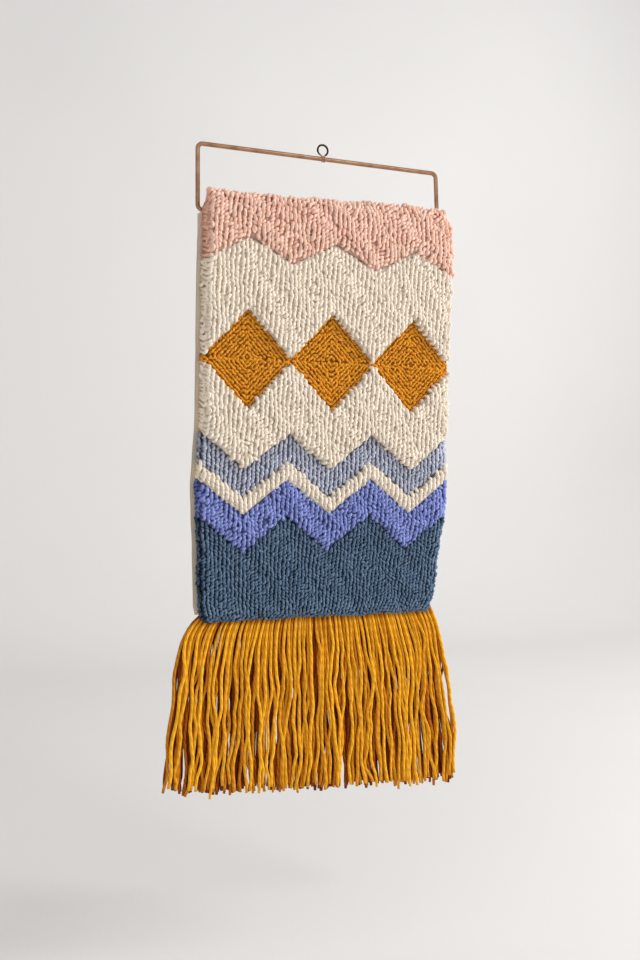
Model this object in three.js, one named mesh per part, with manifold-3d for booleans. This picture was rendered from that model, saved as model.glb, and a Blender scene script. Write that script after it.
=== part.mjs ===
// A tufted wall hanging on a wire hanger. Millimetres, X to the right, Z up, the front faces -Y.
// The origin is the hanging point: the inside top of the eye on the hanger's bar.
import * as THREE from "three";
import { mergeVertices } from "three/addons/utils/BufferGeometryUtils.js";
import Module from "manifold-3d";

const wasm = await Module();
wasm.setup();

// The wire hanger: one wire bent to a rectangle, its ends meeting in the sleeve.
const WIRE_RADIUS = 2.5;
const WIRE_SIDES = 12;
const HALF_SPAN = 149.5;
// The right leg stands a little askew, out at its foot and in at its top.
const RIGHT_LEG_OUT = 1.5;
const RIGHT_LEG_IN = 1;
const BAR_Z = -15.5;
const ROD_Z = -89.4;
const BEND_RADIUS = 6;
const BEND_STEPS = 5;
const END_GAP = 3;

// The eye: a loop of thinner wire that stands on the bar and is wound round it.
const EYE_WIRE_RADIUS = 1;
const EYE_SIDES = 8;
const EYE_RADIUS = 6.3;
const EYE_Z = -(EYE_RADIUS - EYE_WIRE_RADIUS);
const EYE_OPEN_FROM = -56;
const EYE_OPEN_TO = 232;
const EYE_ARC_STEPS = 15;
const WRAP_RADIUS = 3.95;
const WRAP_PITCH = 2.5;
const WRAP_FROM = 25;
const WRAP_TURN = 640;
const WRAP_STEPS = 21;
const WRAP_X = -1.7;

// The backing cloth: turned over the rod as a sleeve, hemmed down both sides.
const CLOTH = 1.6;
const HEM_EXTRA = 1;
const HEM_WIDTH = 9;
const ROD_CLEARANCE = 0.35;
const SLEEVE_RADIUS = WIRE_RADIUS + ROD_CLEARANCE + CLOTH / 2;
const SLEEVE_ARC_STEPS = 8;
const SLEEVE_HALF_WIDTH = 140.5;
const TURNED_DEPTH = 26;
const TURNED_GAP = 0.4;
const CLOTH_BOTTOM = -452.2;
const CLOTH_ROWS = 14;
const LEAN = THREE.MathUtils.degToRad(2);

// The pile stands on the cloth's front face and bulges past its edges.
const PILE_BACK = SLEEVE_RADIUS + CLOTH / 2 + 0.3;
const PILE_COLUMNS = 90;
const PILE_GAP = 0.45;
const RIM_RADIUS = 17;
const RIM_LIFT = 0.42;
const LEFT_STEEPNESS = 2;
const FOOT_LIFT = 0.68;
const EDGE_FACTOR = 0.8;
const EDGE_ROW = 4.5;
const SIDE_INSET = 0.0135;
const TOP_BACK_Z = 6;
const BOTTOM_BACK_Z = -444;
// The borders between colours zigzag three times across the panel.
const REPEATS = 3;

// The fringe: strands in three layers, rooted in a narrow strip at the cloth's foot.
const STRIP = { width: 291, depth: 7, height: 7 };
const STRANDS = 96;
const STRAND_LAYERS = 3;
const STRAND_RADIUS = 1.95;
const STRAND_ROOT_RADIUS = 1.65;
const STRAND_STEPS = 5;
const FRINGE_LENGTH_LEFT = 186;
const FRINGE_LENGTH_GAIN = 27;
// How far the outermost strands stand out: quickly below the root, then slowly down to the tip.
const FLARE_LEFT = { quick: 25, within: 0.11, slow: 10 };
const FLARE_RIGHT = { quick: 14, within: 0.12, slow: 20 };
const LAYER_PITCH = 5.6;

const { lerp, clamp, smoothstep } = THREE.MathUtils;

// Reads a table of [place, value] rows that fall in place, easing between them.
function tableAt(table, place) {
  if (place >= table[0][0]) return table[0][1];
  for (let i = 1; i < table.length; i++) {
    const [a, low] = table[i - 1];
    const [b, high] = table[i];
    if (place >= b) {
      const t = (a - place) / (a - b);
      return lerp(low, high, t * t * (3 - 2 * t));
    }
  }
  return table[table.length - 1][1];
}

// Half widths of the pile to the left and right of the middle, by height below the rod.
const LEFT_EDGE = [
  [24, 136],
  [12, 144],
  [-2, 146],
  [-110, 147],
  [-238, 147.5],
  [-275, 150],
  [-307, 152],
  [-340, 151],
  [-379, 149],
  [-440, 147.5],
  [-452, 145],
  [-462, 137],
];
const RIGHT_EDGE = [
  [29, 140],
  [20, 150],
  [8, 158],
  [-8, 161.5],
  [-82, 161.5],
  [-150, 159.5],
  [-250, 158.5],
  [-288, 160.5],
  [-345, 158.5],
  [-380, 154],
  [-404, 150],
  [-436, 147],
  [-462, 138],
];

// Unevenness from a few sines whose lengths share no common measure, from -1 to 1.
function uneven(a, b) {
  return (
    (Math.sin(a * 1.7 + b * 2.9 + 0.6) +
      Math.sin(a * 3.1 - b * 1.3 + 2.2) +
      Math.sin(a * 0.7 + b * 4.3 + 4.1)) /
    3
  );
}

// A path through given stations, one extrusion step to each.
class StationPath extends THREE.Curve {
  constructor(stations) {
    super();
    this.stations = stations;
  }
  getPoint(t) {
    const place = clamp(t, 0, 1) * (this.stations.length - 1);
    const low = Math.min(Math.floor(place + 1e-9), this.stations.length - 2);
    return this.stations[low].clone().lerp(this.stations[low + 1], place - low);
  }
  getPointAt(u) {
    return this.getPoint(u);
  }
  getTangentAt(u) {
    const last = this.stations.length - 1;
    const i = Math.round(u * last);
    const before = this.stations[Math.max(i - 1, 0)];
    const here = this.stations[i];
    const after = this.stations[Math.min(i + 1, last)];
    const incoming = here.clone().sub(before).normalize();
    const outgoing = after.clone().sub(here).normalize();
    return incoming.add(outgoing).normalize();
  }
}

function wireAlong(stations, radius, sides) {
  const ring = [];
  for (let i = 0; i < sides; i++) {
    const angle = (2 * Math.PI * (i + 0.5)) / sides;
    ring.push(new THREE.Vector2(radius * Math.cos(angle), radius * Math.sin(angle)));
  }
  return new THREE.ExtrudeGeometry(new THREE.Shape(ring), {
    steps: stations.length - 1,
    extrudePath: new StationPath(stations),
    bevelEnabled: false,
  });
}

// The hanger's centre line: from mid-sleeve to the right, up, along the bar, down and back.
function hangerStations() {
  const stations = [new THREE.Vector3(END_GAP / 2, 0, ROD_Z)];
  const corners = [
    [HALF_SPAN + RIGHT_LEG_OUT, ROD_Z, -90],
    [HALF_SPAN - RIGHT_LEG_IN, BAR_Z, 0],
    [-HALF_SPAN, BAR_Z, 90],
    [-HALF_SPAN, ROD_Z, 180],
  ];
  for (const [x, z, from] of corners) {
    const centreX = x - Math.sign(x) * BEND_RADIUS;
    const centreZ = z + (z === ROD_Z ? BEND_RADIUS : -BEND_RADIUS);
    for (let i = 0; i <= BEND_STEPS; i++) {
      const angle = THREE.MathUtils.degToRad(from + (90 * i) / BEND_STEPS);
      stations.push(
        new THREE.Vector3(
          centreX + BEND_RADIUS * Math.cos(angle),
          0,
          centreZ + BEND_RADIUS * Math.sin(angle),
        ),
      );
    }
  }
  stations.push(new THREE.Vector3(-END_GAP / 2, 0, ROD_Z));
  return stations;
}

// The eye's centre line: round the loop, down its neck and twice round the bar.
function eyeStations() {
  const stations = [];
  for (let i = 0; i <= EYE_ARC_STEPS; i++) {
    const angle = THREE.MathUtils.degToRad(
      lerp(EYE_OPEN_FROM, EYE_OPEN_TO, i / EYE_ARC_STEPS),
    );
    stations.push(
      new THREE.Vector3(
        EYE_RADIUS * Math.cos(angle),
        0,
        EYE_Z + EYE_RADIUS * Math.sin(angle),
      ),
    );
  }
  for (let i = 0; i <= WRAP_STEPS; i++) {
    const turned = (WRAP_TURN * i) / WRAP_STEPS;
    const angle = THREE.MathUtils.degToRad(WRAP_FROM + turned);
    stations.push(
      new THREE.Vector3(
        WRAP_X + (WRAP_PITCH * turned) / 360,
        -WRAP_RADIUS * Math.sin(angle),
        BAR_Z + WRAP_RADIUS * Math.cos(angle),
      ),
    );
  }
  return stations;
}

// Joins two chains of vertices by triangles. Each entry is [vertex, place from 0 to 1].
function zip(faces, first, second) {
  let i = 0;
  let j = 0;
  while (i < first.length - 1 || j < second.length - 1) {
    const stepFirst =
      j === second.length - 1 ||
      (i < first.length - 1 && first[i + 1][1] <= second[j + 1][1] + 1e-9);
    if (stepFirst) {
      faces.push(first[i][0], first[i + 1][0], second[j][0]);
      i += 1;
    } else {
      faces.push(first[i][0], second[j + 1][0], second[j][0]);
      j += 1;
    }
  }
}

function geometryOf(points, faces) {
  const geometry = new THREE.BufferGeometry();
  geometry.setAttribute("position", new THREE.Float32BufferAttribute(points.flat(), 3));
  geometry.setIndex(faces);
  const flat = geometry.toNonIndexed();
  flat.computeVertexNormals();
  return flat;
}

// The cloth's middle surface in section: [y, z, sleeve part or not], from the turned edge
// at the back, over the rod, and down the front.
function clothSection() {
  const section = [];
  const innerY = -SLEEVE_RADIUS + CLOTH + TURNED_GAP;
  section.push([innerY, -TURNED_DEPTH, true]);
  section.push([innerY, -TURNED_DEPTH + 7, true]);
  section.push([SLEEVE_RADIUS * 0.75, -9, true]);
  for (let i = 0; i <= SLEEVE_ARC_STEPS; i++) {
    const angle = (Math.PI * i) / SLEEVE_ARC_STEPS;
    section.push([
      SLEEVE_RADIUS * Math.cos(angle),
      SLEEVE_RADIUS * Math.sin(angle),
      i < SLEEVE_ARC_STEPS,
    ]);
  }
  section.push([-SLEEVE_RADIUS, -9, false]);
  for (let i = 0; i <= CLOTH_ROWS; i++) {
    section.push([-SLEEVE_RADIUS, lerp(-30, CLOTH_BOTTOM, i / CLOTH_ROWS), false]);
  }
  return section;
}

function clothGeometry() {
  const section = clothSection();
  const points = [];
  const faces = [];
  const columns = [0, HEM_WIDTH, HEM_WIDTH + 2, -HEM_WIDTH - 2, -HEM_WIDTH, 0];
  section.forEach(([y, z, inSleeve], row) => {
    const before = section[Math.max(row - 1, 0)];
    const after = section[Math.min(row + 1, section.length - 1)];
    const run = Math.hypot(after[0] - before[0], after[1] - before[1]);
    const normalY = (after[1] - before[1]) / run;
    const normalZ = -(after[0] - before[0]) / run;
    const upper = inSleeve || z > -5;
    const left = upper ? -SLEEVE_HALF_WIDTH : -tableAt(LEFT_EDGE, z) - 3.4;
    const right = upper ? SLEEVE_HALF_WIDTH : tableAt(RIGHT_EDGE, z) - 9;
    columns.forEach((offset, column) => {
      const x = (column < 3 ? left : right) + offset;
      const hemmed = (column < 2 || column > 3) && z < -TURNED_DEPTH - 1;
      const back = CLOTH / 2 + (hemmed ? HEM_EXTRA : 0);
      points.push([x, y + (normalY * CLOTH) / 2, z + (normalZ * CLOTH) / 2]);
      points.push([x, y - normalY * back, z - normalZ * back]);
    });
  });
  const at = (row, column, side) => (row * columns.length + column) * 2 + side;
  const quad = (a, b, c, d) => faces.push(a, b, c, a, c, d);
  const lastRow = section.length - 1;
  const lastColumn = columns.length - 1;
  for (let row = 0; row < lastRow; row++) {
    for (let column = 0; column < lastColumn; column++) {
      quad(
        at(row, column, 0),
        at(row + 1, column, 0),
        at(row + 1, column + 1, 0),
        at(row, column + 1, 0),
      );
      quad(
        at(row, column, 1),
        at(row, column + 1, 1),
        at(row + 1, column + 1, 1),
        at(row + 1, column, 1),
      );
    }
    quad(at(row, 0, 0), at(row, 0, 1), at(row + 1, 0, 1), at(row + 1, 0, 0));
    quad(
      at(row, lastColumn, 0),
      at(row + 1, lastColumn, 0),
      at(row + 1, lastColumn, 1),
      at(row, lastColumn, 1),
    );
  }
  for (let column = 0; column < lastColumn; column++) {
    quad(at(0, column, 0), at(0, column + 1, 0), at(0, column + 1, 1), at(0, column, 1));
    quad(
      at(lastRow, column, 0),
      at(lastRow, column, 1),
      at(lastRow, column + 1, 1),
      at(lastRow, column + 1, 0),
    );
  }
  return geometryOf(points, faces);
}

// The borders between colours, each a height below the rod for a share across the width.
function zigzag(across) {
  const phase = across * REPEATS - Math.floor(across * REPEATS);
  return Math.abs(2 * phase - 1);
}
const TOP = (across) =>
  lerp(20.5, 26.5, smoothstep(across, 0.3, 0.85)) +
  uneven(across * 9, 0.3) +
  1.3 * uneven(across * 43, 5.1);
const FOOT = (across) =>
  -460 + 1.6 * uneven(across * 11, 1.7) + uneven(across * 47, 2.4);
const PINK_FOOT = (across) => -30 - 26 * zigzag(across);
const CHAIN_TOP = (across) => -108 - 54 * zigzag(across);
const CHAIN_FOOT = (across) => -222 + 54 * zigzag(across);
const GREY_TOP = (across) => -287 + 40 * zigzag(across);
const STRIPE_TOP = (across) => GREY_TOP(across) - 34;
const PERIWINKLE_TOP = (across) => STRIPE_TOP(across) - 18;
const NAVY_TOP = (across) => PERIWINKLE_TOP(across) - 42;

// One colour of pile: a slab with wavy upright ribs, rounded over at the panel's rim.
function pileGeometry({ height, rib, rows, upper, lower, first, last, seed }) {
  const points = [];
  const faces = [];
  const isTop = upper === TOP;
  const isFoot = lower === FOOT;
  const count = last - first + 1;
  // A piece that ends inside the panel keeps a gap to the next one in its row.
  const startGap = first > 0 ? PILE_GAP / 300 : 0;
  const endGap = last < PILE_COLUMNS ? PILE_GAP / 300 : 0;
  const acrossOf = (i) =>
    lerp(first / PILE_COLUMNS + startGap, last / PILE_COLUMNS - endGap, i / (last - first));
  const xAt = (across, z) =>
    lerp(-tableAt(LEFT_EDGE, z), tableAt(RIGHT_EDGE, z), across);
  for (let i = 0; i < count; i++) {
    const across = acrossOf(i);
    const low = lower(across) + (isFoot ? 0 : PILE_GAP);
    const high = upper(across) - (isTop ? 0 : PILE_GAP);
    const edge = Math.min(EDGE_ROW, (high - low) / 4);
    const atSide = i === 0 || i === count - 1;
    for (let j = 0; j <= rows; j++) {
      const inner = (j - 1) / (rows - 2);
      const z = j === 0 ? low : j === rows ? high : lerp(low + edge, high - edge, inner);
      const border = j === 0 || j === rows;
      const sway = border || atSide ? 0 : 1.3 * uneven(z / 26, seed + across * 5);
      const atRim = first + i === 0 || first + i === PILE_COLUMNS;
      const bump = atRim && !border ? 1.1 + 1.3 * uneven(z / 7, seed + across * 3) : 0;
      const x = xAt(across, z) + sway + (across < 0.5 ? -bump : bump);
      const toSide = Math.min(
        LEFT_STEEPNESS * (tableAt(LEFT_EDGE, z) + xAt(across, z)),
        tableAt(RIGHT_EDGE, z) - xAt(across, z),
      );
      const toRim = Math.min(toSide, TOP(across) - z, z - FOOT(across));
      const t = 1 - clamp(toRim / RIM_RADIUS, 0, 1);
      const least = isFoot && j === 0 ? FOOT_LIFT : RIM_LIFT;
      const rounding = least + (1 - least) * Math.sqrt(1 - t * t);
      const softened = border && !(isFoot && j === 0) ? EDGE_FACTOR : 1;
      const crest = ((first + i) % 2 === 0 ? 1 : -1) * (rib / 2);
      const lump = rib * 0.45 * uneven(z / 5 + i * 1.9, seed + i * 0.8);
      const rise = border || atSide ? 0 : crest + lump;
      points.push([x, -PILE_BACK - height * rounding * softened - rise, z]);
    }
  }
  const at = (i, j) => i * (rows + 1) + j;
  for (let i = 0; i < count - 1; i++) {
    for (let j = 0; j < rows; j++) {
      const [a, b, c, d] = [at(i, j), at(i + 1, j), at(i + 1, j + 1), at(i, j + 1)];
      if ((i + j) % 2) faces.push(a, b, c, a, c, d);
      else faces.push(a, b, d, b, c, d);
    }
  }
  // The flat back has a vertex on both borders at each turn of the zigzag.
  const turn = PILE_COLUMNS / REPEATS / 2;
  const backs = [];
  for (let i = 0; i < count; i += turn) {
    const across = clamp(acrossOf(i), SIDE_INSET, 1 - SIDE_INSET);
    const low = isFoot ? BOTTOM_BACK_Z : lower(across) + PILE_GAP;
    const high = isTop ? TOP_BACK_Z : upper(across) - PILE_GAP;
    const start = points.length;
    points.push([xAt(across, low), -PILE_BACK, low]);
    points.push([xAt(across, high), -PILE_BACK, high]);
    backs.push([start, start + 1, i]);
  }
  for (let k = 0; k < backs.length - 1; k++) {
    const [a, d] = backs[k];
    const [b, c] = backs[k + 1];
    faces.push(a, c, b, a, d, c);
  }
  const frontRow = (j) => Array.from({ length: count }, (_, i) => [at(i, j), i]);
  const frontColumn = (i) => Array.from({ length: rows + 1 }, (_, j) => [at(i, j), j]);
  const backRow = (side) => backs.map((entry) => [entry[side], entry[2]]);
  const backColumn = (entry) => [
    [entry[0], 0],
    [entry[1], rows],
  ];
  zip(faces, backRow(0), frontRow(0));
  zip(faces, frontRow(rows), backRow(1));
  zip(faces, frontColumn(0), backColumn(backs[0]));
  zip(faces, backColumn(backs[backs.length - 1]), frontColumn(count - 1));
  return geometryOf(points, faces);
}

// A three-sided strand from its root down, wandering a little more the further it hangs.
function strandGeometry(index) {
  const layer = index % STRAND_LAYERS;
  const share = index / (STRANDS - 1);
  const rootX = lerp(-STRIP.width / 2 + 3, STRIP.width / 2 - 3, share);
  const rootY = [-2, 2, 0][layer];
  const hangY = [-2, 0, -1][layer] * LAYER_PITCH + 1.6;
  const longer = FRINGE_LENGTH_GAIN * Math.pow(share, 0.7);
  const ragged = 5 * uneven(index * 1.3, 2.1) - 4 * (layer === 1);
  const length = FRINGE_LENGTH_LEFT + longer + ragged;
  const side = 2 * share - 1;
  const flare = side < 0 ? FLARE_LEFT : FLARE_RIGHT;
  const points = [];
  const faces = [];
  const sides = 3;
  for (let step = 0; step <= STRAND_STEPS; step++) {
    const t = step / STRAND_STEPS;
    const fall = smoothstep(t, 0, 0.35);
    const quick = flare.quick * (1 - Math.exp(-t / flare.within));
    const spread = side * (quick + flare.slow * t);
    const own = 1.5 * fall * uneven(index * 2.3 + t * 4, layer);
    const shared = 3 * t * uneven(rootX / 38 + t * 2, 0.4 + layer);
    const x = rootX + spread + own + shared;
    const y = lerp(rootY, hangY, fall) + 0.6 * fall * uneven(index + t * 5, 3.3);
    const z = 2 - t * (length + 2);
    const radius = lerp(STRAND_ROOT_RADIUS, STRAND_RADIUS, fall);
    for (let side = 0; side < sides; side++) {
      const angle = (2 * Math.PI * side) / sides + Math.PI / 2 + index * 0.4;
      points.push([x + radius * Math.cos(angle), y + radius * Math.sin(angle), z]);
    }
  }
  for (let step = 0; step < STRAND_STEPS; step++) {
    for (let side = 0; side < sides; side++) {
      const next = (side + 1) % sides;
      const [a, b] = [step * sides + side, step * sides + next];
      faces.push(a, a + sides, b, b, a + sides, b + sides);
    }
  }
  const end = STRAND_STEPS * sides;
  faces.push(0, 1, 2, end, end + 2, end + 1);
  return geometryOf(points, faces);
}

function solidOf(geometry) {
  const bare = geometry.clone();
  bare.deleteAttribute("normal");
  bare.deleteAttribute("uv");
  const merged = mergeVertices(bare, 1e-3);
  return new wasm.Manifold(
    new wasm.Mesh({
      numProp: 3,
      vertProperties: merged.attributes.position.array,
      triVerts: new Uint32Array(merged.index.array),
    }),
  );
}

function fringeGeometry() {
  let joined = solidOf(new THREE.BoxGeometry(STRIP.width, STRIP.depth, STRIP.height));
  for (let index = 0; index < STRANDS; index++) {
    joined = joined.add(solidOf(strandGeometry(index)));
  }
  const mesh = joined.getMesh();
  const geometry = new THREE.BufferGeometry();
  geometry.setAttribute("position", new THREE.BufferAttribute(mesh.vertProperties, 3));
  geometry.setIndex(new THREE.BufferAttribute(mesh.triVerts, 1));
  const flat = geometry.toNonIndexed();
  flat.computeVertexNormals();
  return flat;
}

function named(name, geometry, color, roughness, metalness) {
  const material = new THREE.MeshStandardMaterial({ color, roughness, metalness });
  const mesh = new THREE.Mesh(geometry, material);
  mesh.name = name;
  return mesh;
}

const hanging = new THREE.Group();
const hangerWire = wireAlong(hangerStations(), WIRE_RADIUS, WIRE_SIDES);
const eyeWire = wireAlong(eyeStations(), EYE_WIRE_RADIUS, EYE_SIDES);
hanging.add(named("hanger", hangerWire, 0xbe8255, 0.3, 1));
hanging.add(named("eye", eyeWire, 0x8a6a4a, 0.4, 1));

// Cloth and pile lean back together from the rod, so that the foot rests on the wall.
const panel = new THREE.Group();
panel.position.z = ROD_Z;
panel.rotation.x = LEAN;
hanging.add(panel);
panel.add(named("backing", clothGeometry(), 0xe1cdb4, 0.9, 0));

// Pile height, rib depth and rows of each colour, between its two borders.
const REPEAT = PILE_COLUMNS / REPEATS;
const PINK = { height: 22, rib: 4, rows: 5 };
const CREAM = { height: 20, rib: 3.8, rows: 6 };
const CREAM_STRIPE = { height: 18, rib: 3, rows: 3 };
const GOLD = { height: 13, rib: 2.2, rows: 6 };
const GREY_BLUE = { height: 14, rib: 2.6, rows: 4 };
const PERIWINKLE = { height: 17, rib: 3.2, rows: 4 };
const NAVY = { height: 14, rib: 2.6, rows: 7 };
const PILES = [
  ["pile_pink", 0xe8b2a0, PINK, TOP, PINK_FOOT],
  ["pile_cream_upper", 0xeee6d4, CREAM, PINK_FOOT, CHAIN_TOP],
  ["pile_gold_left", 0xd69214, GOLD, CHAIN_TOP, CHAIN_FOOT, 0, REPEAT],
  ["pile_gold_middle", 0xd69214, GOLD, CHAIN_TOP, CHAIN_FOOT, REPEAT, 2 * REPEAT],
  ["pile_gold_right", 0xd69214, GOLD, CHAIN_TOP, CHAIN_FOOT, 2 * REPEAT, PILE_COLUMNS],
  ["pile_cream_lower", 0xeee6d4, CREAM, CHAIN_FOOT, GREY_TOP],
  ["pile_grey_blue", 0xb4bccd, GREY_BLUE, GREY_TOP, STRIPE_TOP],
  ["pile_cream_stripe", 0xeee6d4, CREAM_STRIPE, STRIPE_TOP, PERIWINKLE_TOP],
  ["pile_periwinkle", 0x8287cd, PERIWINKLE, PERIWINKLE_TOP, NAVY_TOP],
  ["pile_navy", 0x3e5873, NAVY, NAVY_TOP, FOOT],
];
PILES.forEach(([name, color, pile, upper, lower, first = 0, last = PILE_COLUMNS], order) => {
  const geometry = pileGeometry({ ...pile, upper, lower, first, last, seed: order * 1.37 });
  panel.add(named(name, geometry, color, 0.95, 0));
});

// The fringe hangs plumb from the foot of the leaning cloth.
const fringe = named("fringe", fringeGeometry(), 0xeba51e, 0.9, 0);
const STRIP_GAP = 0.45;
const foot = new THREE.Vector3(
  0,
  -SLEEVE_RADIUS - 1.4,
  CLOTH_BOTTOM - STRIP_GAP - STRIP.height / 2,
);
foot.applyAxisAngle(new THREE.Vector3(1, 0, 0), LEAN);
fringe.position.copy(foot).add(panel.position);
hanging.add(fringe);

export default hanging;
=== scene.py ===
import math

import bpy
import numpy as np
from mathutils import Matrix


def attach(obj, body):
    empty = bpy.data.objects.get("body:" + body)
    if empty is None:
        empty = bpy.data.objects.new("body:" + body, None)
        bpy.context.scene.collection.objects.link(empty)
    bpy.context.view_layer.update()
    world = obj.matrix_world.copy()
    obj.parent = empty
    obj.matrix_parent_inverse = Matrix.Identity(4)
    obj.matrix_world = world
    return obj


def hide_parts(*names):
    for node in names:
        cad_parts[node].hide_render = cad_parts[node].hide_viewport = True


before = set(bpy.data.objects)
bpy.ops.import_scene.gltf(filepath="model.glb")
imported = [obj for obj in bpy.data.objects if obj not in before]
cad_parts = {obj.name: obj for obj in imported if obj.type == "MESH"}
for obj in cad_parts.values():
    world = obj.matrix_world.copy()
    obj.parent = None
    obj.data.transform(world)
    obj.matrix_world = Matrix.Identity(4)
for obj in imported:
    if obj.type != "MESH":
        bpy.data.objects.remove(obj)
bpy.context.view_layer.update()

# The studio: the camera stands level, a little to the left of the panel, under a broad soft light
# from the right. A pale floor runs up into a wall well behind the panel.
MM = 0.001
CAMERA_TURN = 21.5
CAMERA_PLACE = (-0.4201, -1.0579, -0.390)
CAMERA_LENS = 36.56
FLOOR_Z = -0.95
WALL_Y = 2.5
WALL_HEIGHT = 4
FLOOR_REACH = 6
COVE_RADIUS = 0.7


def linear(red, green, blue):
    """A colour of 0 to 255 as shown on a screen, as the light it stands for, from 0 to 1."""
    shown = np.array([red, green, blue]) / 255
    light = np.where(shown < 0.04045, shown / 12.92, ((shown + 0.055) / 1.055) ** 2.4)
    return (*light.tolist(), 1.0)


class Term:
    """A socket of a material's node tree. Sums and products of terms add Math nodes. node() adds
    any other kind: its settings are set first, then each named socket gets a value or a link.
    maths() adds a Math node over the values given, whichever term it is called on."""

    def __init__(self, tree, socket=None):
        self.tree = tree
        self.socket = socket

    def node(self, kind, settings=None, values=None, result=0):
        made = self.tree.nodes.new("ShaderNode" + kind)
        for key, value in (settings or {}).items():
            setattr(made, key, value)
        for key, value in (values or {}).items():
            if isinstance(value, Term):
                self.tree.links.new(value.socket, made.inputs[key])
            else:
                made.inputs[key].default_value = value
        return Term(self.tree, made.outputs[result])

    def maths(self, operation, *values):
        return self.node("Math", {"operation": operation}, dict(enumerate(values)))

    def __add__(self, other):
        return self.maths("ADD", self, other)

    def __sub__(self, other):
        return self.maths("SUBTRACT", self, other)

    def __rsub__(self, other):
        return self.maths("SUBTRACT", other, self)

    def __mul__(self, other):
        return self.maths("MULTIPLY", self, other)

    __radd__ = __add__
    __rmul__ = __mul__

    def between(self, low, high):
        """0 below low, 1 above high, and an even slope between."""
        values = {"Value": self, "From Min": low, "From Max": high}
        return self.node("MapRange", {"clamp": True}, values)

    def blend(self, first, second):
        """The first colour where this term is 0, the second where it is 1."""
        return self.node("Mix", {"data_type": "RGBA"}, {0: self, 6: first, 7: second}, 2)

    def wave(self, length):
        """A sine of this term that comes round once in each length."""
        return self.maths("SINE", self * (2 * math.pi / length))

    def output(self, number):
        """Another output of the node that this term comes from."""
        return Term(self.tree, self.socket.node.outputs[number])

    def noise(self, place, scale, detail=2.0):
        """Clouds from 0 to 1 round the place, scale of them to a metre, in detail + 1 sizes."""
        return self.node("TexNoise", None, {"Vector": place, "Scale": scale, "Detail": detail})

    def bump(self, height, depth, strength=1.0):
        """A surface normal that follows a height of 0 to 1 as relief of that depth in metres."""
        values = {"Height": height, "Distance": depth, "Strength": strength}
        return self.node("Bump", None, values)


def material(name, finish):
    """A new material: finish(paint) gives a value or a term for each of its shader's sockets that
    it names. paint is a term without a socket, from which the others are made."""
    made = bpy.data.materials.new(name)
    made.use_nodes = True
    shader = made.node_tree.nodes["Principled BSDF"]
    for socket, value in finish(Term(made.node_tree)).items():
        if isinstance(value, Term):
            made.node_tree.links.new(value.socket, shader.inputs[socket])
        else:
            shader.inputs[socket].default_value = value
    return made


def put_together(name, parts, finish):
    """Joins parts into one smooth-shaded mesh object at the origin. A part is its points (n, 3),
    corners (vertex numbers, face after face), face sizes, a uv to each corner, and a tone and a
    rise to each point."""
    starts = np.cumsum([0] + [len(part["points"]) for part in parts[:-1]])
    points = np.concatenate([part["points"] for part in parts])
    corners = np.concatenate([part["corners"] + start for part, start in zip(parts, starts)])
    sizes = np.concatenate([part["sizes"] for part in parts])
    mesh = bpy.data.meshes.new(name)
    mesh.vertices.add(len(points))
    mesh.vertices.foreach_set("co", points.astype(np.float32).ravel())
    mesh.loops.add(len(corners))
    mesh.loops.foreach_set("vertex_index", corners.astype(np.int32))
    mesh.polygons.add(len(sizes))
    mesh.polygons.foreach_set("loop_start", (np.cumsum(sizes) - sizes).astype(np.int32))
    mesh.polygons.foreach_set("loop_total", sizes.astype(np.int32))
    mesh.polygons.foreach_set("use_smooth", np.ones(len(sizes), bool))
    uv = np.concatenate([part["uv"] for part in parts])
    mesh.uv_layers.new(name="along").data.foreach_set("uv", uv.astype(np.float32).ravel())
    for attribute in ("tone", "rise"):
        values = np.concatenate([part[attribute] for part in parts]).astype(np.float32)
        mesh.attributes.new(attribute, "FLOAT", "POINT").data.foreach_set("value", values)
    mesh.update()
    mesh.validate()
    mesh.materials.append(finish)
    made = bpy.data.objects.new(name, mesh)
    bpy.context.scene.collection.objects.link(made)
    return made


def grid(points, tone=0.5, rise=0.0, closed=False):
    """A sheet of quads over points (rows, columns, 3). It faces the side from which rows run up
    and columns run right. Closed: the last column joins the first."""
    rows, columns = points.shape[:2]
    across = columns if closed else columns - 1
    row, column = np.meshgrid(np.arange(rows - 1), np.arange(across), indexing="ij")
    low, high = row * columns, (row + 1) * columns
    after = (column + 1) % columns
    corners = np.stack([low + column, low + after, high + after, high + column], -1)
    u = np.stack([column, column + 1, column + 1, column], -1) / across
    v = np.stack([row, row, row + 1, row + 1], -1) / (rows - 1)
    count = rows * columns
    return {
        "points": points.reshape(-1, 3),
        "corners": corners.ravel(),
        "sizes": np.full(corners.size // 4, 4),
        "uv": np.stack([u, v], -1).reshape(-1, 2),
        "tone": np.broadcast_to(tone, (rows, columns)).reshape(count),
        "rise": np.broadcast_to(rise, (rows, columns)).reshape(count),
    }


camera = bpy.data.objects.new("camera", bpy.data.cameras.new("camera"))
camera.location = CAMERA_PLACE
camera.rotation_euler = (math.radians(90), 0, math.radians(-CAMERA_TURN))
camera.data.lens = CAMERA_LENS
bpy.context.scene.collection.objects.link(camera)
bpy.context.scene.camera = camera
bpy.context.scene.view_settings.view_transform = "Standard"

for name, place, turn, size, power in (
    ("key_light", (2.15, -1.05, 0.5), (69.4, 0, 63.8), 0.9, 46),
    ("fill_light", (-1.6, -1.9, 0.4), (68, 0, -40), 1.8, 4),
    ("top_light", (0.9, -2.0, 1.1), (57.4, 0, 24.3), 0.4, 7),
    ("wall_light", (2.2, 0.4, 1.2), (84, 0, 8), 0.8, 13),
):
    lamp = bpy.data.lights.new(name, "AREA")
    lamp.size = size
    lamp.energy = power
    light = bpy.data.objects.new(name, lamp)
    light.location = place
    light.rotation_euler = [math.radians(angle) for angle in turn]
    # The key light gives no highlights, or the bar would glare.
    light.visible_glossy = name != "key_light"
    bpy.context.scene.collection.objects.link(light)

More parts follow.
